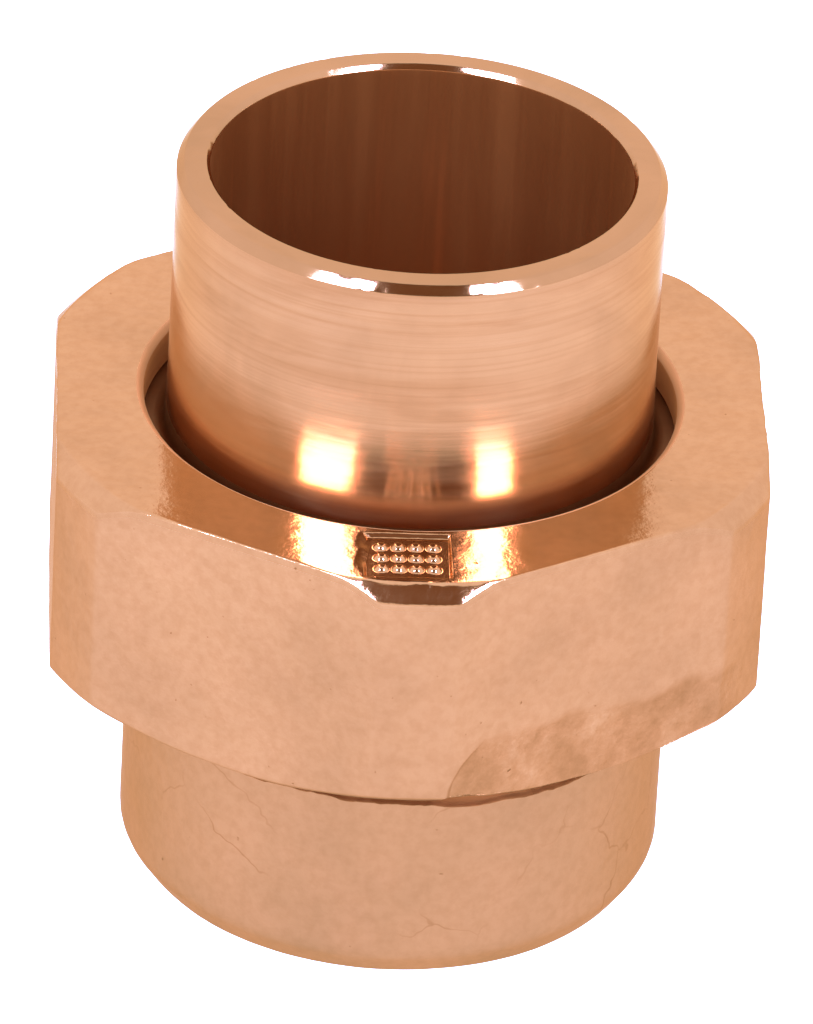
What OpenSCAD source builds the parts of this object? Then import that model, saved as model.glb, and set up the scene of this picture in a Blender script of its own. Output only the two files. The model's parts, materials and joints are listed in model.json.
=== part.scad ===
// Pipe union with a solder cup at each end, for 1-1/2 inch copper tube. Millimetres.
// Three pieces: a lower body with a threaded head, a tailpiece, and the hexagon nut that
// draws the tailpiece's round nose down onto the body's conical seat.
// Axis of the pipe along +Z, base of the lower body at z = 0.

/* [Solder cups] */

// Height of the whole union, nut done up
total_length = 77.3; // [77:0.1:80]

// Radius of each solder cup
cup_r = 20.7; // [20.67:0.01:20.73]

// Depth of each solder cup
cup_depth = 27.7; // [26:0.1:28]

// Radius of the waterway past the tube stops
waterway_r = 18.9; // [18.3:0.1:19.3]

// Outside radius of the tailpiece's tube end
tube_end_r = 24; // [23.5:0.05:24.3]

/* [Lower body] */

// Outside radius of the cast lower body
body_r = 26.95; // [26.5:0.05:27.4]

// Height at which the cast skin ends and the turned neck starts
neck_z = 21.4; // [19:0.2:24]

// Depth of the turned neck below the cast skin
neck_step = 0.6; // [0.3:0.1:1]

/* [Nut] */

// Nut size across the flats
nut_across_flats = 69.7; // [69:0.1:72]

// Diameter the nut's six corners are turned to
nut_corner_d = 76.3; // [75.3:0.1:77.5]

// Height of the nut
nut_height = 25.8; // [25.8:0.1:26.6]

// Radius of the nut's top hole
nut_hole_r = 26.3; // [25.6:0.1:26.6]

// Thickness of the nut's inward top flange
nut_flange_t = 4; // [3.4:0.2:4.2]

// Pips in each row of the nut's cast panel
pips_per_row = 4; // [2:1:4]

/* [Thread] */

// Rise of the thread in one turn
thread_pitch = 2.309; // [2.2:0.001:2.4]

// Straight facets in one turn of the thread
thread_facets = 48; // [36:12:60]

/* [Output] */

// Piece to draw

/* [Hidden] */

$fn = 180;

copper_light = [0.91, 0.68, 0.54];
copper_mid = [0.86, 0.60, 0.44];
copper_dark = [0.80, 0.53, 0.37];

// Lower body, from the base up
base_chamfer_w = 2.1;
base_chamfer_h = 3;
mouth_chamfer = 0.5;
neck_r = body_r - neck_step;
head_under_z = 26.6;
head_top_z = 41.5;
head_slope = 0.55;
seat_mid_r = 23.5;
seat_mid_z = 38.8;
seat_gap = 0.05;

// Thread: the nut's is the body's with clearance all round
male_minor_r = 29.65;
male_major_r = 31.1;
male_crest_half = 0.2;
thread_clear_r = 0.2;
thread_root_clear = 0.25;
thread_clear_z = 0.1;
flank_slope = tan(27.5);
female_minor_r = male_minor_r + thread_clear_r;
female_major_r = male_major_r + thread_root_clear;
male_root_half = male_crest_half + (male_major_r - male_minor_r) * flank_slope;
female_wide_half = male_crest_half + (male_major_r - female_minor_r) * flank_slope + thread_clear_z;
female_narrow_half = male_crest_half - thread_root_clear * flank_slope + thread_clear_z;
male_z0 = head_under_z + (male_minor_r - neck_r) / head_slope * 0.5;
thread_phase_z = male_z0 - 1.63;
snap = 0.012;

// Nut, from the bottom up
nut_z0 = 26.2;
nut_z1 = nut_z0 + nut_height;
nut_top_face_r = 36.6;
nut_top_drop = 1.6;
nut_bottom_face_r = 34.7;
nut_bottom_rise = 2.2;
nut_hole_bevel = 0.55;
nut_mouth_r = 31.9;
nut_thread_z0 = 28.4;
nut_thread_z1 = 43.1;
nut_relief_r = female_major_r + 0.1;
nut_flange_z = nut_z1 - nut_flange_t;

// Cast panel on the nut's top face, over the front corner
panel_w = 8.4;
panel_l = 8;
panel_depth = 0.5;
panel_x = -1.1;
panel_mid_r = 31.5;
pip_r = 0.7;
pip_h = 0.35;
pip_rows = 3;
pip_facets = 24;

// Tailpiece, from the nose up
collar_r = 29.45;
collar_top_z = nut_flange_z - 0.05;
collar_h = 4.9;
collar_z = collar_top_z - collar_h;
collar_chamfer = 0.5;
collar_fillet_r = 1.2;
nose_r = seat_mid_r * sqrt(2);
nose_centre_z = seat_mid_z + seat_mid_r + seat_gap;
nose_skirt_r = 27;
nose_tip_z = nose_centre_z - sqrt(nose_r * nose_r - pow(waterway_r + 1, 2));
rim_chamfer_w = 0.75;
rim_chamfer_h = 0.9;
rim_inner_w = 0.4;
rim_inner_h = 0.55;
upper_cup_z = total_length - cup_depth;

eps = 0.01;

// Height of the thread ridge's middle line, at one angle and on one turn
function ridge_z(angle, turn) = thread_phase_z + thread_pitch * (angle / 360 + turn);

// A helical ridge round a core, as one closed solid between two flat ends.
// Each facet line carries four corners per turn; corners past an end drop onto that end.
// A flare of 1 opens the ends out to the ridge's full radius, 0 closes them to the core.
module threaded_core(core_r, ridge_r, wide_half, narrow_half, z0, z1, flare) {
    offsets = [-wide_half, -narrow_half, narrow_half, wide_half];
    radii = [core_r, ridge_r, ridge_r, core_r];
    end_r = flare == 1 ? ridge_r : core_r;
    first_turn = floor((z0 - thread_phase_z) / thread_pitch) - 1;
    last_turn = ceil((z1 - thread_phase_z) / thread_pitch) + 1;
    corners = 4 * (last_turn - first_turn + 1);
    column = corners + 2;
    facets = thread_facets;

    function corner_z(j, k) = ridge_z(360 * j / facets, first_turn + floor(k / 4)) + offsets[k % 4];
    function end_limit(z) = min(z - z0, z1 - z);
    function corner_r(k, z) =
        flare == 1
            ? max(radii[k % 4], ridge_r - end_limit(z))
            : min(radii[k % 4], core_r + end_limit(z));
    function corner_point(j, k) =
        let (z = min(max(corner_z(j, k), z0), z1), r = corner_r(k, z), a = 360 * j / facets)
        [r * cos(a), r * sin(a), z];
    function end_point(j, z) = [end_r * cos(360 * j / facets), end_r * sin(360 * j / facets), z];

    // Number of a corner in the point list; the seam moves one turn up the ridge
    function slot(j, k) =
        let (jj = j % facets, kk = j == facets ? k + 4 : k, z = corner_z(j, k))
        z <= z0 + snap ? jj * column : z >= z1 - snap ? jj * column + column - 1 : jj * column + kk + 1;

    points = [
        for (j = [0 : facets - 1])
            for (i = [0 : column - 1])
                i == 0 ? end_point(j, z0) : i == column - 1 ? end_point(j, z1) : corner_point(j, i - 1)
    ];
    walls = [
        for (j = [0 : facets - 1])
            for (k = [0 : corners - 2])
                let (a = slot(j, k), b = slot(j, k + 1), c = slot(j + 1, k + 1), d = slot(j + 1, k))
                for (f = [[a, b, c], [a, c, d]])
                    if (f[0] != f[1] && f[1] != f[2] && f[0] != f[2]) f
    ];
    bottom = [for (j = [0 : facets - 1]) j * column];
    top = [for (j = [facets - 1 : -1 : 0]) j * column + column - 1];
    polyhedron(points = points, faces = concat(walls, [bottom, top]), convexity = 10);
}

// Solid turned from a closed outline of [radius, height] points
module turned(outline) {
    rotate_extrude()
        polygon(outline);
}

module union_body() {
    color(copper_mid)
    difference() {
        union() {
            turned([
                [0, 0],
                [body_r - base_chamfer_w, 0],
                [body_r, base_chamfer_h],
                [body_r, neck_z],
                [neck_r, neck_z + neck_step / 2],
                [neck_r, head_under_z],
                [male_minor_r, male_z0],
                [0, male_z0]
            ]);
            threaded_core(male_minor_r, male_major_r, male_root_half, male_crest_half,
                male_z0, head_top_z, 0);
        }
        body_waterway();
    }
}

// Everything the water and the tube take out of the lower body
module body_waterway() {
    seat_foot_z = seat_mid_z - (seat_mid_r - waterway_r);
    seat_top_r = seat_mid_r + head_top_z - seat_mid_z;
    turned([
        [0, -1],
        [cup_r + mouth_chamfer, -1],
        [cup_r + mouth_chamfer, 0],
        [cup_r, mouth_chamfer],
        [cup_r, cup_depth],
        [waterway_r, cup_depth],
        [waterway_r, seat_foot_z],
        [seat_top_r, head_top_z],
        [seat_top_r, head_top_z + 1],
        [0, head_top_z + 1]
    ]);
}

module union_nut() {
    color(copper_light)
    difference() {
        nut_blank();
        threaded_core(female_minor_r, female_major_r, female_wide_half, female_narrow_half,
            nut_thread_z0, nut_thread_z1, 1);
        nut_chambers();
        nut_panel();
    }
    color(copper_light)
    nut_pips();
}

// Hexagon bar with its corners turned round and its two faces chamfered
module nut_blank() {
    corner_r = nut_corner_d / 2;
    intersection() {
        translate([0, 0, nut_z0])
            rotate([0, 0, 90])
            cylinder(r = nut_across_flats / 2 / cos(30), h = nut_height, $fn = 6);
        turned([
            [0, nut_z0],
            [nut_bottom_face_r, nut_z0],
            [corner_r, nut_z0 + nut_bottom_rise],
            [corner_r, nut_z1 - nut_top_drop],
            [nut_top_face_r, nut_z1],
            [0, nut_z1]
        ]);
    }
}

// Mouth below the thread, relief above it and the hole the tube end passes through
module nut_chambers() {
    turned([
        [0, nut_z0 - 1],
        [nut_mouth_r, nut_z0 - 1],
        [nut_mouth_r, nut_z0],
        [female_major_r + 0.1, nut_thread_z0],
        [0, nut_thread_z0]
    ]);
    turned([
        [0, nut_thread_z1],
        [nut_relief_r, nut_thread_z1],
        [nut_relief_r, nut_flange_z],
        [nut_hole_r, nut_flange_z],
        [nut_hole_r, nut_z1 - nut_hole_bevel],
        [nut_hole_r + nut_hole_bevel, nut_z1],
        [nut_hole_r + nut_hole_bevel, nut_z1 + 1],
        [0, nut_z1 + 1]
    ]);
}

module nut_panel() {
    translate([panel_x - panel_w / 2, -panel_mid_r - panel_l / 2, nut_z1 - panel_depth])
        cube([panel_w, panel_l, panel_depth + 1]);
}

module nut_pips() {
    pitch_x = panel_w / (pips_per_row + 1);
    pitch_y = panel_l / (pip_rows + 1);
    for (i = [1 : pips_per_row])
        for (j = [1 : pip_rows])
            translate([
                i * pitch_x - panel_w / 2 + panel_x,
                j * pitch_y - panel_l / 2 - panel_mid_r,
                nut_z1 - panel_depth - eps
            ])
            cylinder(r = pip_r, h = pip_h + eps, $fn = pip_facets);
}

module tailpiece() {
    color(copper_dark)
    difference() {
        union() {
            tube_and_collar();
            tail_nose();
        }
        tail_waterway();
    }
}

module tube_and_collar() {
    turned([
        [0, collar_z],
        [collar_r - collar_chamfer, collar_z],
        [collar_r, collar_z + collar_chamfer],
        [collar_r, collar_top_z - collar_chamfer],
        [collar_r - collar_chamfer, collar_top_z],
        [tube_end_r, collar_top_z],
        [tube_end_r, total_length - rim_chamfer_h],
        [tube_end_r - rim_chamfer_w, total_length],
        [0, total_length]
    ]);
    rotate_extrude()
        difference() {
            translate([tube_end_r - eps, collar_top_z - eps])
                square(collar_fillet_r + eps);
            translate([tube_end_r + collar_fillet_r, collar_top_z + collar_fillet_r])
                circle(r = collar_fillet_r);
        }
}

// Round nose, the ground seat that meets the lower body's cone
module tail_nose() {
    intersection() {
        translate([0, 0, nose_centre_z])
            sphere(r = nose_r);
        translate([0, 0, nose_tip_z])
            cylinder(r = nose_skirt_r, h = collar_z - nose_tip_z + 1);
    }
}

// Everything the water and the tube take out of the tailpiece
module tail_waterway() {
    turned([
        [0, nose_tip_z - 1],
        [waterway_r, nose_tip_z - 1],
        [waterway_r, upper_cup_z],
        [cup_r, upper_cup_z],
        [cup_r, total_length - rim_inner_h],
        [cup_r + rim_inner_w, total_length],
        [cup_r + rim_inner_w, total_length + 1],
        [0, total_length + 1]
    ]);
}

union_body();
union_nut();
tailpiece();
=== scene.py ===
"""Looks of the copper-coloured pipe union: three ring-shaped pieces, meshed densely round the CAD frame."""

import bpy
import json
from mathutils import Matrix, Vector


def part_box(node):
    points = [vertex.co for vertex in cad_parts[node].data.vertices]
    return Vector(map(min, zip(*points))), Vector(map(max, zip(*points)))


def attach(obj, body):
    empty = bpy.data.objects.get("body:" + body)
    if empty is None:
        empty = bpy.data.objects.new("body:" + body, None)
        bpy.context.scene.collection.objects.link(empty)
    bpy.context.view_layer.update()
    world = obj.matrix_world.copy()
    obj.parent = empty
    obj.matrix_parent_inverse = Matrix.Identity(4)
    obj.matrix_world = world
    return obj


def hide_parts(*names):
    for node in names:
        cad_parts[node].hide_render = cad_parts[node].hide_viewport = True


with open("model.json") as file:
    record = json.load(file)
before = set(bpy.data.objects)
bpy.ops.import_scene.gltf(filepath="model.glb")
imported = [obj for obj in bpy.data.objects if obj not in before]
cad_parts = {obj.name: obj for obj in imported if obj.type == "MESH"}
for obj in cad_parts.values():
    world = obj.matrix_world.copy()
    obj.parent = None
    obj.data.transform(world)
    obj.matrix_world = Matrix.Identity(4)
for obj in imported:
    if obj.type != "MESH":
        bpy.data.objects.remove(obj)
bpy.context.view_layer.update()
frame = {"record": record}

import json
import math

import bpy
import numpy as np
from mathutils import Matrix, Vector

MM = 0.001
SEED = 7


# ---------------------------------------------------------------- sizes, in mm
# The frame gives most of them; the plain numbers repeat part.scad, where it has no box or mount for them


def cad_mm(node):
    """Lowest and highest corner of a CAD node in millimetres."""
    low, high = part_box(node)
    return [c / MM for c in low], [c / MM for c in high]


BODY_HIGH = cad_mm("union_body")[1]
NUT_LOW, NUT_HIGH = cad_mm("union_nut")
TAIL_LOW, TAIL_HIGH = cad_mm("tailpiece")
MOUNTS = {m["name"]: m for m in frame["record"]["mounts"]}

CUP_R = MOUNTS["upper_cup"]["dims"]["r_mm"]
MOUTH_CHAMFER = 0.5
CUP_DEPTH = MOUNTS["lower_cup"]["dims"]["length_mm"] + MOUTH_CHAMFER
WATERWAY_R = 18.9
TOP = TAIL_HIGH[2]
TUBE_R = 24.0
BODY_R = 26.95
COLLAR_R = TAIL_HIGH[0]
THREAD_R = BODY_HIGH[0]
HEAD_TOP = BODY_HIGH[2]
NUT_Z0 = NUT_LOW[2]
NUT_Z1 = NUT_HIGH[2]
FLAT_R = MOUNTS["nut_flat_right"]["pos_m"][0] / MM
CORNER_R = NUT_HIGH[1]
HOLE_R = 26.3
FLANGE_Z = NUT_Z1 - 4.0
SEAT_R = 23.5
SEAT_Z = 38.8
PITCH = 2.309
THREAD_START = 27.97
THREAD_DEPTH = 1.45
NUT_THREAD_TOP = 43.1
NUT_MOUTH_HEIGHT = 2.2


# ---------------------------------------------------------------- seeded noise on points


def lattice(ix, iy, iz, seed):
    """Repeatable random value in -1..1 for each whole-number lattice point."""
    h = ix * 374761393 + iy * 668265263 + iz * 2147483647 + seed * 1274126177
    h = (h ^ (h >> 13)) & 0xFFFFFFFF
    h = (h * 1103515245 + 12345) & 0xFFFFFFFF
    h = (h ^ (h >> 16)) & 0xFFFFFFFF
    h = (h * 2246822519) & 0xFFFFFFFF
    h = (h ^ (h >> 15)) & 0xFFFF
    return h / 32767.5 - 1.0


def value_noise(p, size, seed):
    """Smooth noise in -1..1 at points p (any shape, last axis xyz), with lumps about size across."""
    q = p / size + 500.0
    base = np.floor(q).astype(np.int64)
    f = q - base
    f = f * f * f * (f * (f * 6 - 15) + 10)
    out = 0.0
    for dx in (0, 1):
        for dy in (0, 1):
            for dz in (0, 1):
                weight = (
                    (f[..., 0] if dx else 1 - f[..., 0])
                    * (f[..., 1] if dy else 1 - f[..., 1])
                    * (f[..., 2] if dz else 1 - f[..., 2])
                )
                out = out + weight * lattice(base[..., 0] + dx, base[..., 1] + dy, base[..., 2] + dz, seed)
    return out


def fractal(p, size, seed, octaves=3):
    """Sum of value noise at halving sizes and strengths."""
    total, strength = 0.0, 1.0
    for k in range(octaves):
        total = total + strength * value_noise(p, size / 2**k, seed + 17 * k)
        strength *= 0.5
    return total


def smoothstep(x, low, high):
    """0 below low, 1 above high and a smooth rise between them."""
    t = np.clip((x - low) / (high - low), 0.0, 1.0)
    return t * t * (3 - 2 * t)


# ---------------------------------------------------------------- ring meshes


def filleted(corners):
    """Closed outline from (radius, height, fillet, zone) corners, each corner rounded by its fillet."""
    n = len(corners)
    points = []
    for i in range(n):
        r, z, fillet, zone = corners[i]
        here = np.array([r, z])
        before = np.array(corners[i - 1][:2]) - here
        after = np.array(corners[(i + 1) % n][:2]) - here
        lb, la = np.linalg.norm(before), np.linalg.norm(after)
        cut = min(fillet, 0.45 * lb, 0.45 * la)
        if cut < 1e-3:
            points.append((r, z, zone))
            continue
        a, b = here + before / lb * cut, here + after / la * cut
        for t in np.linspace(0, 1, 5):
            q = (1 - t) ** 2 * a + 2 * t * (1 - t) * here + t**2 * b
            points.append((q[0], q[1], zone if t >= 0.5 else corners[i - 1][3]))
    return points


def subdivided(points, step):
    """Adds points so that no run along the closed outline is longer than step."""
    out = []
    for i, (r, z, zone) in enumerate(points):
        r2, z2, _ = points[(i + 1) % len(points)]
        parts = max(1, math.ceil(math.hypot(r2 - r, z2 - z) / step))
        for k in range(parts):
            t = k / parts
            out.append((r + (r2 - r) * t, z + (z2 - z) * t, zone))
    return out


def revolved(points, angles):
    """Radius and height grids of a turned outline, a row for each of its points, and each row's zone."""
    r = np.repeat(np.array([p[0] for p in points])[:, None], len(angles), 1)
    z = np.repeat(np.array([p[1] for p in points])[:, None], len(angles), 1)
    zone = np.array([p[2] for p in points])
    return r, z, zone


def grid_points(r, z, angles):
    """xyz of a grid; angle 0 is the front (-Y) and angles grow towards +X."""
    return np.stack([r * np.sin(angles)[None], -r * np.cos(angles)[None], z], -1)


def grid_normals(p):
    """Unit normals of a grid that closes on itself both ways."""
    along = np.roll(p, -1, 0) - np.roll(p, 1, 0)
    around = np.roll(p, -1, 1) - np.roll(p, 1, 1)
    n = np.cross(around, along)
    return n / np.maximum(np.linalg.norm(n, axis=-1, keepdims=True), 1e-12)


def ring_mesh(name, p, zone, zone_materials, body, node, marks=None):
    """A closed ring of quads from a grid of points in mm: a material zone per row, named masks per point."""
    rows, cols = p.shape[:2]
    mesh = bpy.data.meshes.new(name)
    row = np.arange(rows)[:, None]
    col = np.arange(cols)[None, :]
    down, right = (row + 1) % rows, (col + 1) % cols
    quads = np.stack([row * cols + col, row * cols + right, down * cols + right, down * cols + col], -1)
    mesh.from_pydata((p.reshape(-1, 3) * MM).tolist(), [], quads.reshape(-1, 4).tolist())
    for material in zone_materials:
        mesh.materials.append(material)
    mesh.polygons.foreach_set("material_index", np.repeat(zone, cols).astype(np.int32))
    mesh.polygons.foreach_set("use_smooth", np.ones(rows * cols, bool))
    for mark, values in (marks or {}).items():
        layer = mesh.attributes.new(mark, "FLOAT", "POINT")
        layer.data.foreach_set("value", values.reshape(-1).astype(np.float32))
    mesh.update()
    piece = bpy.data.objects.new(name, mesh)
    bpy.context.scene.collection.objects.link(piece)
    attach(piece, body)
    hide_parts(node)


# ---------------------------------------------------------------- thread


def thread_profile(theta, z, start_z, wide, narrow):
    """Ridge height 0..1 at angle theta: it climbs one pitch each anticlockwise turn seen from above."""
    u = (z - start_z - PITCH * theta / (2 * math.pi)) / PITCH
    u = (u - np.round(u)) * PITCH
    return 1 - smoothstep(np.abs(u), narrow * 0.6, wide * 1.03)


# ---------------------------------------------------------------- node materials


class Tree:
    """Small helper that adds and links shader nodes."""

    def __init__(self, name):
        self.material = bpy.data.materials.new(name)
        self.material.use_nodes = True
        self.tree = self.material.node_tree
        self.tree.nodes.clear()
        self.output = self.add("ShaderNodeOutputMaterial")
        self.shader = self.add("ShaderNodeBsdfPrincipled")
        self.link(self.shader, "BSDF", self.output, "Surface")
        self.place = self.add("ShaderNodeTexCoord")

    def add(self, kind, **settings):
        node = self.tree.nodes.new(kind)
        for key, value in settings.items():
            setattr(node, key, value)
        return node

    def link(self, source, output, target, socket):
        self.tree.links.new(source.outputs[output], target.inputs[socket])

    def stretched(self, scale):
        """Object coordinates scaled differently along each axis."""
        mapping = self.add("ShaderNodeMapping")
        mapping.inputs["Scale"].default_value = scale
        self.link(self.place, "Object", mapping, "Vector")
        return mapping

    def noise(self, scale, detail=4.0, roughness=0.55, distortion=0.0, mapping=None):
        node = self.add("ShaderNodeTexNoise")
        node.inputs["Scale"].default_value = scale
        node.inputs["Detail"].default_value = detail
        node.inputs["Roughness"].default_value = roughness
        node.inputs["Distortion"].default_value = distortion
        if mapping is None:
            self.link(self.place, "Object", node, "Vector")
        else:
            self.link(mapping, "Vector", node, "Vector")
        return node

    def ramp(self, source, output, stops):
        node = self.add("ShaderNodeValToRGB")
        ramp = node.color_ramp
        while len(ramp.elements) > 2:
            ramp.elements.remove(ramp.elements[-1])
        ramp.elements[0].position, ramp.elements[0].color = stops[0][0], (*stops[0][1], 1.0)
        ramp.elements[1].position, ramp.elements[1].color = stops[-1][0], (*stops[-1][1], 1.0)
        for position, colour in stops[1:-1]:
            ramp.elements.new(position).color = (*colour, 1.0)
        self.link(source, output, node, "Fac")
        return node

    def range(self, source, output, low, high, to_low, to_high):
        node = self.add("ShaderNodeMapRange")
        for socket, value in zip(("From Min", "From Max", "To Min", "To Max"), (low, high, to_low, to_high)):
            node.inputs[socket].default_value = value
        self.link(source, output, node, "Value")
        return node

    def mix(self, factor, factor_output, a, a_output, b, b_output, blend="MIX"):
        node = self.add("ShaderNodeMix", data_type="RGBA", blend_type=blend)
        if factor is None:
            node.inputs["Factor"].default_value = factor_output
        else:
            self.link(factor, factor_output, node, "Factor")
        self.link(a, a_output, node, "A")
        self.link(b, b_output, node, "B")
        return node

    def bump(self, source, output, strength, distance, before=None):
        node = self.add("ShaderNodeBump")
        node.inputs["Strength"].default_value = strength
        node.inputs["Distance"].default_value = distance
        self.link(source, output, node, "Height")
        if before is not None:
            self.link(before, "Normal", node, "Normal")
        return node


def shade(colour, factor):
    return tuple(min(1.0, c * factor) for c in colour)


COPPER = (0.612, 0.372, 0.236)
# Darker copper for the turned neck: painted shade under the nut's lip.
NECK_SHADED_COPPER = (0.54, 0.225, 0.10)
HOLE_COPPER = (0.72, 0.34, 0.16)
# Lighter copper for the hole's bevel: a painted highlight along the hole's edge.
BEVEL_LIT_COPPER = (0.82, 0.49, 0.31)
BORE_BROWN = (0.34, 0.115, 0.038)
EDGE_TINT = (0.82, 0.60, 0.43, 1.0)
TURNED_TINT = (0.92, 0.74, 0.58, 1.0)


def hairlines(t, under):
    """Darkens a colour along a few wandering hairline cracks."""
    wander = t.noise(150, 3.0, 0.6)
    place = t.add("ShaderNodeVectorMath", operation="MULTIPLY_ADD")
    t.link(wander, "Color", place, 0)
    place.inputs[1].default_value = (0.006, 0.006, 0.006)
    t.link(t.place, "Object", place, 2)
    cells = t.add("ShaderNodeTexVoronoi", feature="DISTANCE_TO_EDGE")
    cells.inputs["Scale"].default_value = 85
    t.link(place, "Vector", cells, "Vector")
    line = t.range(cells, "Distance", 0.003, 0.012, 1.0, 0.0)
    where = t.noise(70, 2.0, 0.5)
    some = t.range(where, "Fac", 0.55, 0.66, 0.0, 0.45)
    both = t.add("ShaderNodeMath", operation="MULTIPLY")
    t.link(line, "Result", both, 0)
    t.link(some, "Result", both, 1)
    dark = t.ramp(both, "Value", [(0.0, (1.0, 1.0, 1.0)), (1.0, (0.62, 0.42, 0.30))])
    return t.mix(None, 1.0, under, "Result", dark, "Color", "MULTIPLY")


def cast_copper(name, tone=1.0, roughness=(0.26, 0.42), skin=1.0, cracked=False):
    """Cast skin: soft mottling, fine grain, sparse pits, a coarse patch with a painted shadow along its rim
    and, if asked, hairline cracks.
    """
    t = Tree(name)
    broad = t.noise(75, 4.0, 0.58)
    mottle = [
        (0.30, shade(COPPER, 0.92 * tone)),
        (0.5, shade(COPPER, 1.0 * tone)),
        (0.70, shade(COPPER, 1.05 * tone)),
    ]
    colour = t.ramp(broad, "Fac", mottle)
    speck = t.noise(900, 2.0, 0.6)
    grain = t.ramp(speck, "Fac", [(0.30, (0.88, 0.84, 0.81)), (0.62, (1.0, 1.0, 1.0))])
    mixed = t.mix(None, 0.5, colour, "Color", grain, "Color", "MULTIPLY")
    pits = t.noise(1300, 1.0, 0.4)
    pit_mask = t.range(pits, "Fac", 0.13, 0.20, 0.0, 1.0)
    deep = t.ramp(pit_mask, "Result", [(0.0, (0.55, 0.40, 0.32)), (1.0, (1.0, 1.0, 1.0))])
    pitted = t.mix(None, 1.0, mixed, "Result", deep, "Color", "MULTIPLY")
    sand = t.add("ShaderNodeAttribute", attribute_name="sand_patch")
    blotch = t.noise(230, 4.0, 0.65)
    stains = [(0.30, (0.76, 0.66, 0.58)), (0.50, (0.90, 0.84, 0.79)), (0.68, (1.0, 1.0, 1.0))]
    stain = t.ramp(blotch, "Fac", stains)
    patched = t.mix(sand, "Fac", pitted, "Result", stain, "Color", "MULTIPLY")
    # The patch's rim is darkened: a painted shadow line along its recessed edge.
    rim = t.add("ShaderNodeAttribute", attribute_name="patch_rim")
    painted_rim_shadow = t.ramp(rim, "Fac", [(0.0, (1.0, 1.0, 1.0)), (1.0, (0.74, 0.62, 0.54))])
    final = t.mix(None, 1.0, patched, "Result", painted_rim_shadow, "Color", "MULTIPLY")
    if cracked:
        final = hairlines(t, final)
    t.link(final, "Result", t.shader, "Base Color")
    t.shader.inputs["Metallic"].default_value = 1.0
    t.shader.inputs["Specular Tint"].default_value = EDGE_TINT
    rough_noise = t.noise(160, 4.0, 0.6)
    rough = t.range(rough_noise, "Fac", 0.3, 0.7, roughness[0], roughness[1])
    t.link(rough, "Result", t.shader, "Roughness")
    lumps = t.noise(330, 4.0, 0.6)
    first = t.bump(lumps, "Fac", 0.42 * skin, 0.00026)
    fine = t.noise(2100, 3.0, 0.6)
    second = t.bump(fine, "Fac", 0.32 * skin, 0.00007, first)
    third = t.bump(pit_mask, "Result", 0.5 * skin, 0.00008, second)
    gritty = t.add("ShaderNodeMath", operation="MULTIPLY")
    t.link(blotch, "Fac", gritty, 0)
    t.link(sand, "Fac", gritty, 1)
    fourth = t.bump(gritty, "Value", 0.8, 0.0007, third)
    t.link(fourth, "Normal", t.shader, "Normal")
    return t.material


def turned_copper(name, tone=1.0, roughness=(0.16, 0.30), marks=1.0, colour=COPPER):
    """Turned and buffed surface: fine lines round the axis, faint smears, light haze."""
    t = Tree(name)
    rings = t.stretched((14.0, 14.0, 2600.0))
    lines = t.noise(1.0, 3.0, 0.6, 0.4, rings)
    band = t.stretched((60.0, 60.0, 420.0))
    bands = t.noise(1.0, 3.0, 0.55, 0.6, band)
    haze = t.noise(70, 4.0, 0.55, 0.8)
    hazes = [
        (0.3, shade(colour, 0.90 * tone)),
        (0.52, shade(colour, 1.0 * tone)),
        (0.72, shade(colour, 1.06 * tone)),
    ]
    base = t.ramp(haze, "Fac", hazes)
    streak = t.ramp(lines, "Fac", [(0.30, (0.88, 0.83, 0.79)), (0.52, (1.0, 1.0, 1.0))])
    final = t.mix(None, 0.45 * marks, base, "Color", streak, "Color", "MULTIPLY")
    t.shader.inputs["Metallic"].default_value = 1.0
    t.shader.inputs["Specular Tint"].default_value = TURNED_TINT
    rough = t.range(bands, "Fac", 0.3, 0.7, roughness[0], roughness[1])
    t.link(rough, "Result", t.shader, "Roughness")
    slant = t.stretched((30.0, 30.0, 260.0))
    slant.inputs["Rotation"].default_value = (0.35, 0.62, 0.0)
    smear = t.noise(1.0, 4.0, 0.6, 0.9, slant)
    smears = [(0.34, (0.90, 0.86, 0.83)), (0.50, (1.0, 1.0, 1.0)), (0.70, (1.03, 1.04, 1.05))]
    smeared = t.ramp(smear, "Fac", smears)
    worn = t.mix(None, 0.75 * marks, final, "Result", smeared, "Color", "MULTIPLY")
    t.link(worn, "Result", t.shader, "Base Color")
    first = t.bump(lines, "Fac", 0.22 * marks, 0.00003)
    rubbed = t.bump(smear, "Fac", 0.16 * marks, 0.00010, first)
    second = t.bump(bands, "Fac", 0.18 * marks, 0.00006, rubbed)
    wave = t.noise(45, 2.0, 0.5)
    third = t.bump(wave, "Fac", 0.10, 0.0004, second)
    t.link(third, "Normal", t.shader, "Normal")
    around = t.add("ShaderNodeTangent", direction_type="RADIAL", axis="Z")
    t.link(around, "Tangent", t.shader, "Tangent")
    t.shader.inputs["Anisotropic"].default_value = 0.75
    t.shader.inputs["Anisotropic Rotation"].default_value = 0.25
    return t.material


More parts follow.
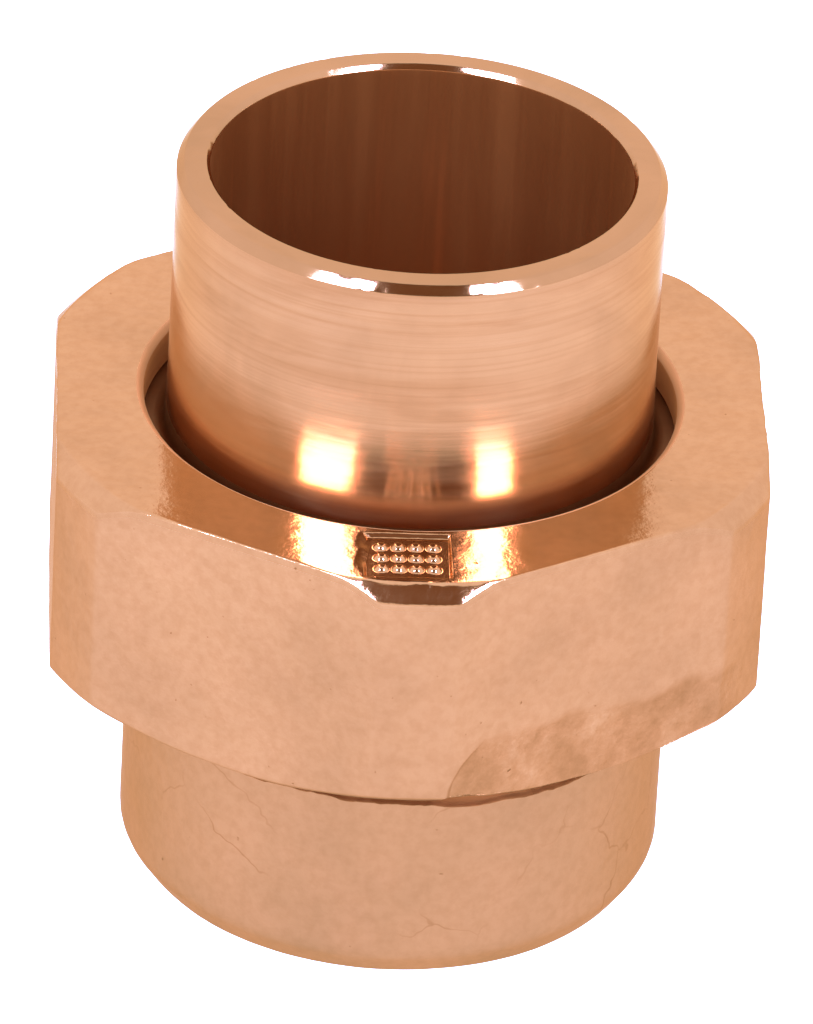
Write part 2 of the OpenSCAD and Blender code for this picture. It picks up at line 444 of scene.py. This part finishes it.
def bore_copper(name, tone=1.0):
    """Dark, oxidised inside of the cups and the waterway, with faint streaks along the bore. At a low tone it
    also colours the gap under the nut, where the extra darkness is painted shade.
    """
    t = Tree(name)
    along = t.stretched((420.0, 420.0, 22.0))
    streaks = t.noise(1.0, 3.0, 0.6, 0.2, along)
    oxides = [
        (0.30, shade(BORE_BROWN, 0.94 * tone)),
        (0.60, shade(BORE_BROWN, tone)),
        (0.80, shade(BORE_BROWN, 1.3 * tone)),
    ]
    colour = t.ramp(streaks, "Fac", oxides)
    t.link(colour, "Color", t.shader, "Base Color")
    t.shader.inputs["Metallic"].default_value = 0.85
    rough = t.range(streaks, "Fac", 0.3, 0.7, 0.50, 0.36)
    t.link(rough, "Result", t.shader, "Roughness")
    grain = t.noise(700, 3.0, 0.6)
    first = t.bump(grain, "Fac", 0.25, 0.00006)
    t.link(first, "Normal", t.shader, "Normal")
    return t.material


# ---------------------------------------------------------------- tailpiece

TAIL_OUTER, TAIL_RIM, TAIL_BORE, TAIL_HIDDEN, TAIL_GAP = range(5)


def tail_outline():
    """Closed outline of the tailpiece: nose, collar, up the outside, over the rim and down the bore."""
    collar_z1 = FLANGE_Z - 0.05
    collar_z0 = collar_z1 - 4.9
    nose_r = SEAT_R * math.sqrt(2)
    nose_z = SEAT_Z + SEAT_R + 0.05
    tip = TAIL_LOW[2]
    cup_z = TOP - CUP_DEPTH
    nose_angles = np.linspace(math.asin((WATERWAY_R + 1.0) / nose_r), math.asin(26.9 / nose_r), 14)
    corners = [(WATERWAY_R, tip, 0.15, TAIL_HIDDEN)]
    for a in nose_angles:
        corners.append((nose_r * math.sin(a), nose_z - nose_r * math.cos(a), 0.0, TAIL_HIDDEN))
    corners += [
        (27.0, collar_z0, 0.2, TAIL_HIDDEN),
        (COLLAR_R - 0.5, collar_z0, 0.15, TAIL_HIDDEN),
        (COLLAR_R, collar_z0 + 0.5, 0.15, TAIL_HIDDEN),
        (COLLAR_R, collar_z1 - 0.5, 0.15, TAIL_HIDDEN),
        (COLLAR_R - 0.5, collar_z1, 0.15, TAIL_GAP),
        (TUBE_R + 0.12, collar_z1, 1.3, TAIL_GAP),
        (TUBE_R + 0.09, collar_z1 + 2.6, 0.3, TAIL_OUTER),
        (TUBE_R, collar_z1 + 8.0, 2.0, TAIL_OUTER),
        (TUBE_R, TOP - 0.9, 0.12, TAIL_RIM),
        (TUBE_R - 0.75, TOP, 0.12, TAIL_RIM),
        (CUP_R + 0.42, TOP, 0.12, TAIL_RIM),
        (CUP_R, TOP - 0.55, 0.12, TAIL_BORE),
        (CUP_R, cup_z, 0.2, TAIL_BORE),
        (WATERWAY_R, cup_z, 0.25, TAIL_BORE),
    ]
    return corners


def make_tailpiece(materials):
    angles = np.linspace(0, 2 * math.pi, 360, endpoint=False)
    points = subdivided(filleted(tail_outline()), 0.6)
    r, z, zone = revolved(points, angles)
    p = grid_points(r, z, angles)
    n = grid_normals(p)
    free = ((zone == TAIL_OUTER) | (zone == TAIL_BORE))[:, None]
    waver = 0.02 * fractal(p, 14.0, SEED, 2) + 0.004 * fractal(p, 3.0, SEED + 3, 2)
    nicks = -0.05 * smoothstep(fractal(p, 0.9, SEED + 4, 2), 0.55, 1.1) * (zone == TAIL_RIM)[:, None]
    p = p + n * (waver * free + nicks)[..., None]
    ring_mesh("tailpiece_ring", p, zone, materials, "tailpiece", "tailpiece")


# ---------------------------------------------------------------- lower body

BODY_CAST, BODY_NECK, BODY_THREAD, BODY_SEAT, BODY_BORE, BODY_FOOT = range(6)
NECK_Z = 20.85


def body_outline():
    """Closed outline of the lower body: outside up, over the head, down the seat and the bore."""
    head_z = 26.6
    root_r = THREAD_R - THREAD_DEPTH
    neck_r = BODY_R - 0.6
    return [
        (CUP_R + MOUTH_CHAMFER, 0.0, 0.1, BODY_FOOT),
        (BODY_R - 2.1, 0.0, 0.7, BODY_FOOT),
        (BODY_R, 3.0, 1.0, BODY_CAST),
        (BODY_R, NECK_Z - 0.08, 0.0, BODY_NECK),
        (BODY_R, NECK_Z, 0.0, BODY_NECK),
        (neck_r, NECK_Z + 0.1, 0.0, BODY_NECK),
        (neck_r, NECK_Z + 0.2, 0.0, BODY_NECK),
        (neck_r, head_z, 0.3, BODY_NECK),
        (root_r, head_z + (root_r - BODY_R + 0.6) / 0.55 * 0.5, 0.2, BODY_THREAD),
        (root_r, HEAD_TOP, 0.15, BODY_SEAT),
        (SEAT_R + HEAD_TOP - SEAT_Z, HEAD_TOP, 0.15, BODY_SEAT),
        (WATERWAY_R, SEAT_Z - (SEAT_R - WATERWAY_R), 0.3, BODY_BORE),
        (WATERWAY_R, CUP_DEPTH, 0.2, BODY_BORE),
        (CUP_R, CUP_DEPTH, 0.2, BODY_BORE),
        (CUP_R, MOUTH_CHAMFER, 0.1, BODY_BORE),
    ]


def make_body(materials):
    angles = np.linspace(0, 2 * math.pi, 480, endpoint=False)
    points = subdivided(filleted(body_outline()), 0.42)
    fine = []
    for i, (r, z, zone) in enumerate(points):
        r2, z2, _ = points[(i + 1) % len(points)]
        parts = 4 if zone == BODY_THREAD else 1
        fine += [(r + (r2 - r) * k / parts, z + (z2 - z) * k / parts, zone) for k in range(parts)]
    r, z, zone = revolved(fine, angles)
    theta = (angles - math.pi / 2)[None]
    limit = np.clip(np.minimum(z - z[zone == BODY_THREAD].min(), HEAD_TOP - z), 0, THREAD_DEPTH)
    ridge = thread_profile(theta, z, THREAD_START, 0.955, 0.2) * THREAD_DEPTH
    r = np.where((zone == BODY_THREAD)[:, None], r + np.minimum(ridge, limit), r)
    p = grid_points(r, z, angles)
    flat_p = p * [1, 1, 0.0]
    ragged = 0.22 * fractal(flat_p, 5.0, SEED + 5, 4) + 0.10 * fractal(flat_p, 1.1, SEED + 6, 2)
    movable = ((zone == BODY_CAST) | (zone == BODY_NECK))[:, None]
    near_step = smoothstep(-np.abs(z - NECK_Z - 0.15), -3.4, -0.2) * movable
    bared = smoothstep(-np.abs(angles - math.radians(26)), -math.radians(30), -math.radians(6))[None]
    p[..., 2] += (ragged - 0.55 * bared) * near_step
    n = grid_normals(p)
    skin = ((zone == BODY_CAST) | (zone == BODY_FOOT))[:, None] * smoothstep(NECK_Z - 0.1 - z, 0.0, 0.6)
    bumps = 0.035 * fractal(p, 9.0, SEED + 11, 3) + 0.012 * fractal(p, 1.6, SEED + 12, 2)
    p = p + n * (bumps * skin)[..., None]
    ring_mesh("union_body_ring", p, zone, materials, "body", "union_body")


# ---------------------------------------------------------------- nut

NUT_TOP, NUT_EDGE, NUT_SIDE, NUT_UNDER, NUT_LEAD, NUT_THREAD, NUT_HOLE, NUT_BEVEL = range(8)
HALF_SIDE = math.pi / 6


def nut_angles():
    """Column angles: even ones, plus extra at the hexagon's edges and across the front panel."""
    base = np.linspace(-math.pi, math.pi, 360, endpoint=False)
    edge = math.acos(FLAT_R / CORNER_R)
    extra = []
    for corner in range(6):
        middle = corner * math.pi / 3
        for side in (-1, 1):
            at = middle + side * (HALF_SIDE - edge)
            extra += [at + math.radians(d) for d in np.linspace(-1.2, 1.2, 9)]
    extra += [math.radians(d) for d in np.linspace(-9, 9, 91)]
    extra += [math.radians(d) for d in np.linspace(9.3, 18, 30)]
    every = np.concatenate([base, np.array(extra)])
    every = np.sort((every + math.pi) % (2 * math.pi) - math.pi)
    least = math.radians(0.07)
    keep = [every[0]]
    for a in every[1:]:
        if a - keep[-1] > least:
            keep.append(a)
    if keep[0] + 2 * math.pi - keep[-1] < least:
        keep.pop()
    return np.array(keep)


def soft_max(values, sharp):
    """Smooth maximum of a list of arrays: rounds the edges between the faces they stand for."""
    top = values[0]
    for v in values[1:]:
        top = np.maximum(top, v)
    return top + sharp * np.log(sum(np.exp((v - top) / sharp) for v in values))


def hexagon_radius(angles):
    """Distance of the nut's side from the axis: six flats with turned corners, edges slightly soft."""
    away = (angles + HALF_SIDE) % (math.pi / 3) - HALF_SIDE
    to_flat = HALF_SIDE - np.abs(away)
    flat = FLAT_R / np.cos(to_flat)
    return -soft_max([-flat, np.full_like(flat, -CORNER_R)], 0.06)


TOP_FACE_R = 36.6
TOP_DROP = 1.6
BOTTOM_FACE_R = 34.7
BOTTOM_RISE = 2.2
EDGE_SPREAD = 0.15


def nut_outer(angles):
    """Rows over the nut's outside, from the top hole's edge, over the rim, down the flats, to the mouth."""
    side = hexagon_radius(angles)
    top_slope = TOP_DROP / (CORNER_R - TOP_FACE_R)
    low_slope = BOTTOM_RISE / (CORNER_R - BOTTOM_FACE_R)
    start_r, end_r = HOLE_R + 0.75, 32.4
    # The top face stops short of the side, so the edge rows stay apart where a flat has no chamfer
    p1 = (np.minimum(TOP_FACE_R, side - EDGE_SPREAD), np.full_like(side, NUT_Z1))
    p2 = (side, NUT_Z1 - np.maximum(EDGE_SPREAD, top_slope * (side - TOP_FACE_R)))
    p3 = (side, NUT_Z0 + low_slope * np.maximum(0, side - BOTTOM_FACE_R))
    p4 = (np.minimum(BOTTOM_FACE_R, side), np.full_like(side, NUT_Z0))
    near = 0.75
    anchors = [
        (np.full_like(side, start_r), np.full_like(side, NUT_Z1)),
        (p1[0] - near, p1[1]),
        p1,
        p2,
        (p2[0], p2[1] - near),
        (p3[0], p3[1] + near),
        p3,
        p4,
        (p4[0] - near, p4[1]),
        (np.full_like(side, end_r), np.full_like(side, NUT_Z0)),
    ]
    counts = [72, 6, 8, 6, 78, 6, 10, 6, 4]
    zones = [NUT_TOP] * 2 + [NUT_EDGE] * 2 + [NUT_SIDE] * 2 + [NUT_UNDER] * 3
    rows_r, rows_z, zone = [], [], []
    for i, count in enumerate(counts):
        for k in range(count):
            t = k / count
            rows_r.append(anchors[i][0] * (1 - t) + anchors[i + 1][0] * t)
            rows_z.append(anchors[i][1] * (1 - t) + anchors[i + 1][1] * t)
            zone.append(zones[i])
    rows_r.append(anchors[-1][0])
    rows_z.append(anchors[-1][1])
    zone.append(NUT_UNDER)
    r, z = np.array(rows_r), np.array(rows_z)
    # Draw each point towards the middle of the wall until it meets the softened outline
    centre_r, centre_z = 31.0, (NUT_Z0 + NUT_Z1) / 2
    low, high = np.full_like(r, 0.5), np.full_like(r, 1.05)
    halvings = 22
    for _ in range(halvings):
        mid = (low + high) / 2
        rr, zz = centre_r + (r - centre_r) * mid, centre_z + (z - centre_z) * mid
        faces = [
            rr - side[None],
            zz - NUT_Z1,
            (zz - NUT_Z1 + top_slope * (rr - TOP_FACE_R)) / math.hypot(1, top_slope),
            NUT_Z0 - zz,
            (NUT_Z0 - zz + low_slope * (rr - BOTTOM_FACE_R)) / math.hypot(1, low_slope),
        ]
        outside = soft_max(faces, 0.11) > 0
        high = np.where(outside, mid, high)
        low = np.where(outside, low, mid)
    mid = (low + high) / 2
    return centre_r + (r - centre_r) * mid, centre_z + (z - centre_z) * mid, np.array(zone)


def nut_inner(angles):
    """Rows up the nut's inside, from the mouth, up the thread, to the top hole's bevel."""
    crest_r, root_r = THREAD_R - 1.25, THREAD_R + 0.25
    z0, z1 = NUT_Z0 + NUT_MOUTH_HEIGHT, NUT_THREAD_TOP
    outline = [(31.95, NUT_Z0 + 0.12, NUT_LEAD), (31.8, NUT_Z0 + 0.5, NUT_LEAD), (root_r + 0.1, z0, NUT_LEAD)]
    row_height = 0.1
    steps = int((z1 - z0) / row_height)
    outline += [(root_r, z0 + (z1 - z0) * k / steps, NUT_THREAD) for k in range(steps + 1)]
    outline += [
        (root_r + 0.1, z1 + 0.1, NUT_LEAD),
        (root_r + 0.1, FLANGE_Z - 0.3, NUT_LEAD),
        (root_r - 0.2, FLANGE_Z, NUT_LEAD),
        (HOLE_R + 2.5, FLANGE_Z, NUT_HOLE),
        (HOLE_R + 0.2, FLANGE_Z, NUT_HOLE),
        (HOLE_R, FLANGE_Z + 0.2, NUT_HOLE),
        (HOLE_R, FLANGE_Z + 1.2, NUT_HOLE),
        (HOLE_R, FLANGE_Z + 2.3, NUT_HOLE),
        (HOLE_R, NUT_Z1 - 0.75, NUT_HOLE),
        (HOLE_R + 0.04, NUT_Z1 - 0.58, NUT_BEVEL),
        (HOLE_R + 0.25, NUT_Z1 - 0.33, NUT_BEVEL),
        (HOLE_R + 0.45, NUT_Z1 - 0.12, NUT_BEVEL),
        (HOLE_R + 0.60, NUT_Z1 - 0.03, NUT_BEVEL),
    ]
    r, z, zone = revolved(outline, angles)
    theta = (angles - math.pi / 2)[None]
    groove = thread_profile(theta, z, THREAD_START, 0.951, 0.17)
    ends = np.clip(np.minimum(z - z0, z1 - z), 0, 1.5)
    cut = crest_r + (root_r - crest_r) * groove
    r = np.where((zone == NUT_THREAD)[:, None], np.maximum(cut, root_r - ends), r)
    return r, z, zone


PANEL_X = -1.1
PANEL_MID_R = 31.5


def panel_relief(p):
    """Depth in mm of the small cast panel with its pips, on the top face over the front corner."""
    x, y = p[..., 0] - PANEL_X, p[..., 1] + PANEL_MID_R
    half_w, half_l = 4.2, 4.0
    edge = np.maximum(np.abs(x) - half_w, np.abs(y) - half_l)
    relief = -0.45 * smoothstep(-edge, -0.12, 0.22)
    pip_gap_x, pip_gap_y = 1.68, 2.0
    for i in (-1.5, -0.5, 0.5, 1.5):
        for j in (-1, 0, 1):
            d = np.hypot(x - i * pip_gap_x, y - j * pip_gap_y)
            relief = relief + 0.42 * smoothstep(-d, -0.82, -0.30)
    return relief


def rough_patch(p):
    """Masks of the coarse sand-cast patch low on the front right flat, and of its curved left edge, which the
    material darkens as a painted shadow line.
    """
    along = p[..., 0] * math.cos(HALF_SIDE) + (p[..., 1] + FLAT_R / math.cos(HALF_SIDE)) * math.sin(HALF_SIDE)
    up = p[..., 2] - NUT_Z0
    ragged = 0.55 * fractal(p, 4.0, SEED + 31, 3)
    left = smoothstep(along - 3.6 - 0.07 * up**2 + 0.6 * ragged, -0.1, 0.55)
    below = smoothstep(8.4 + ragged - up, -0.2, 1.6)
    right = 1 - smoothstep(along + 2 * ragged, 32.0, 42.0)
    side = smoothstep(p[..., 0], 1.0, 3.0) * smoothstep(-p[..., 1], 8.0, 12.0)
    inside = below * right * side
    return left * inside, 4 * left * (1 - left) * inside


def make_nut(materials):
    angles = nut_angles()
    r1, z1, zone1 = nut_outer(angles)
    r2, z2, zone2 = nut_inner(angles)
    r, z = np.concatenate([r1, r2]), np.concatenate([z1, z2])
    zone = np.concatenate([zone1, zone2])
    p = grid_points(r, z, angles)[::-1]
    zone = np.roll(zone[::-1], -1)
    n = grid_normals(p)
    outside = (np.concatenate([zone1, zone2])[::-1] <= NUT_UNDER)[:, None]
    bumps = 0.045 * fractal(p, 11.0, SEED + 21, 3) + 0.014 * fractal(p, 2.2, SEED + 22, 2)
    patch, patch_rim = rough_patch(p)
    coarse = 0.07 * fractal(p, 2.0, SEED + 23, 3) - 0.28
    top = (p[..., 2] > NUT_Z1 - 0.4) * (np.hypot(p[..., 0], p[..., 1]) > HOLE_R + 0.8)
    move = bumps * outside + coarse * patch * outside + panel_relief(p) * top
    rim_r = np.minimum(hexagon_radius(angles), TOP_FACE_R)[None]
    from_edge = np.hypot(rim_r - np.hypot(p[..., 0], p[..., 1]), NUT_Z1 - p[..., 2])
    broken = smoothstep(fractal(p, 2.4, SEED + 27, 3), -0.35, 0.75)
    burr = 0.10 * np.exp(-((from_edge / 0.30) ** 2)) * broken
    p = p + n * (move + burr * outside)[..., None]
    marks = {"sand_patch": patch, "patch_rim": patch_rim}
    ring_mesh("union_nut_ring", p, zone, materials, "nut", "union_nut", marks)


# ---------------------------------------------------------------- studio


def make_floor():
    mesh = bpy.data.meshes.new("studio_floor")
    half = 4.0
    corners = [(-half, -half, 0), (half, -half, 0), (half, half, 0), (-half, half, 0)]
    mesh.from_pydata(corners, [], [(0, 1, 2, 3)])
    floor = bpy.data.objects.new("studio_floor", mesh)
    floor.location.z = -0.00005
    bpy.context.scene.collection.objects.link(floor)
    t = Tree("paper_white")
    t.shader.inputs["Base Color"].default_value = (0.1, 0.1, 0.1, 1)
    t.shader.inputs["Roughness"].default_value = 0.9
    t.shader.inputs["Emission Color"].default_value = (1, 1, 1, 1)
    t.shader.inputs["Emission Strength"].default_value = 1.05
    mesh.materials.append(t.material)


def direction(azimuth, elevation):
    """Unit vector from the union; azimuth 0 is the front (-Y) and grows towards +X."""
    a, e = math.radians(azimuth), math.radians(elevation)
    return Vector((math.sin(a) * math.cos(e), -math.cos(a) * math.cos(e), math.sin(e)))


TARGET = Vector((0, 0, 0.035))
CAMERA_AZIMUTH = -3.03
CAMERA_ELEVATION = 30.66
CAMERA_ROLL = 3.14
CAMERA_DISTANCE = 1.16286
CAMERA_LENS = 411.86
AIM_RIGHT = 0.000384
AIM_UP = 0.002664
LIGHT_COLOUR = (0.85, 1.0, 1.36)
WORLD_STRENGTH = 1.29


def make_light(name, azimuth, elevation, distance, width, height, power):
    data = bpy.data.lights.new(name, "AREA")
    data.shape = "RECTANGLE"
    data.size, data.size_y = width, height
    data.energy = power
    data.color = LIGHT_COLOUR
    lamp = bpy.data.objects.new(name, data)
    out = direction(azimuth + CAMERA_AZIMUTH, elevation)
    lamp.location = TARGET + out * distance
    lamp.rotation_euler = out.to_track_quat("Z", "Y").to_euler()
    bpy.context.scene.collection.objects.link(lamp)


def make_dark_card():
    """Dark card round the camera, which the shiny faces that look straight at it reflect."""
    mesh = bpy.data.meshes.new("dark_card")
    w, h = 1.0, 0.72
    mesh.from_pydata([(-w, -h, 0), (w, -h, 0), (w, h, 0), (-w, h, 0)], [], [(0, 1, 2, 3)])
    card = bpy.data.objects.new("dark_card", mesh)
    out = direction(CAMERA_AZIMUTH, 45.0)
    card.location = TARGET + out * 1.5
    card.rotation_euler = out.to_track_quat("Z", "Y").to_euler()
    bpy.context.scene.collection.objects.link(card)
    t = Tree("card_black")
    t.shader.inputs["Base Color"].default_value = (0.05, 0.025, 0.012, 1)
    t.shader.inputs["Roughness"].default_value = 0.8
    t.shader.inputs["Emission Color"].default_value = (1.0, 0.35, 0.10, 1)
    t.shader.inputs["Emission Strength"].default_value = 0.22
    mesh.materials.append(t.material)
    card.visible_camera = False


def make_lights():
    world = bpy.data.worlds.new("studio")
    bpy.context.scene.world = world
    world.use_nodes = True
    background = world.node_tree.nodes["Background"]
    background.inputs["Color"].default_value = (1, 1, 1, 1)
    background.inputs["Strength"].default_value = WORLD_STRENGTH
    make_light("softbox_left", -37.3, 36, 1.0, 0.37, 0.58, 9.0)
    make_light("softbox_right", 41.5, 36, 1.0, 0.263, 0.58, 6.4)
    make_dark_card()


def make_camera():
    data = bpy.data.cameras.new("camera")
    data.lens = CAMERA_LENS
    data.sensor_width = 36
    data.clip_end = 20
    camera = bpy.data.objects.new("camera", data)
    roll = math.radians(CAMERA_ROLL)
    back = direction(CAMERA_AZIMUTH, CAMERA_ELEVATION)
    turn = math.radians(CAMERA_AZIMUTH)
    right = Vector((math.cos(turn), math.sin(turn), 0))
    up = back.cross(right)
    x_axis = right * math.cos(roll) + up * math.sin(roll)
    y_axis = up * math.cos(roll) - right * math.sin(roll)
    aim = TARGET + x_axis * AIM_RIGHT + y_axis * AIM_UP
    pose = Matrix((x_axis, y_axis, back)).transposed().to_4x4()
    pose.translation = aim + back * CAMERA_DISTANCE
    camera.matrix_world = pose
    bpy.context.scene.collection.objects.link(camera)
    bpy.context.scene.camera = camera


def set_tones():
    """Plain view transform with a gentle contrast curve: warmer mid tones, white glints and glares."""
    view = bpy.context.scene.view_settings
    view.view_transform = "Standard"
    view.use_curve_mapping = True
    mapping = view.curve_mapping
    mapping.use_clip = False
    red = [(0.0, 0.0), (0.78, 0.78), (0.90, 0.95), (1.0, 1.2)]
    green = [(0.0, 0.0), (0.18, 0.165), (0.475, 0.41), (0.63, 0.67), (0.82, 1.0), (1.0, 1.2)]
    blue = [(0.0, 0.0), (0.06, 0.05), (0.305, 0.24), (0.42, 0.45), (0.58, 0.85), (0.74, 1.05), (1.0, 1.2)]
    for curve, stops in zip(mapping.curves, (red, green, blue)):
        curve.points[0].location = stops[0]
        curve.points[1].location = stops[-1]
        for stop in stops[1:-1]:
            curve.points.new(*stop)
    mapping.update()


def main():
    set_tones()
    make_camera()
    make_lights()
    make_floor()
    bore = bore_copper("bore_brown", 1.25)
    # The gap under the nut: bore brown at a lower tone, painted shade.
    gap = bore_copper("gap_brown", 0.72)
    polished = turned_copper("tube_turned", 1.03, (0.14, 0.25))
    # The rim's lower tone than the tube's is painted shade.
    rim = turned_copper("rim_turned", 0.88, (0.10, 0.18), 0.5)
    hole = turned_copper("nut_hole", 1.0, (0.60, 0.72), 0.8, HOLE_COPPER)
    # The bevel's lighter copper is a painted highlight.
    bevel = turned_copper("nut_bevel", 1.0, (0.50, 0.62), 0.6, BEVEL_LIT_COPPER)
    hidden = turned_copper("seat_ground", 0.95, (0.12, 0.22), 0.8)
    cast = cast_copper("body_cast", 0.91, (0.30, 0.46), cracked=True)
    # The neck, also used inside the nut's lead, is coloured darker: painted shade.
    neck_shaded = turned_copper("neck_turned", 0.9, (0.60, 0.75), 1.0, NECK_SHADED_COPPER)
    thread = turned_copper("thread_cut", 0.9, (0.2, 0.32), 0.6)
    nut_top = cast_copper("nut_top_face", 1.02, (0.09, 0.19), 0.6)
    nut_edge = cast_copper("nut_edge", 1.0, (0.10, 0.18), 0.6)
    nut_side = cast_copper("nut_flats", 1.0, (0.31, 0.44), 1.15)
    nut_under = cast_copper("nut_underside", 0.92, (0.30, 0.45), 1.0)
    make_tailpiece([polished, rim, bore, hidden, gap])
    make_body([cast, neck_shaded, thread, hidden, bore, cast])
    make_nut([nut_top, nut_edge, nut_side, nut_under, neck_shaded, thread, hole, bevel])


main()
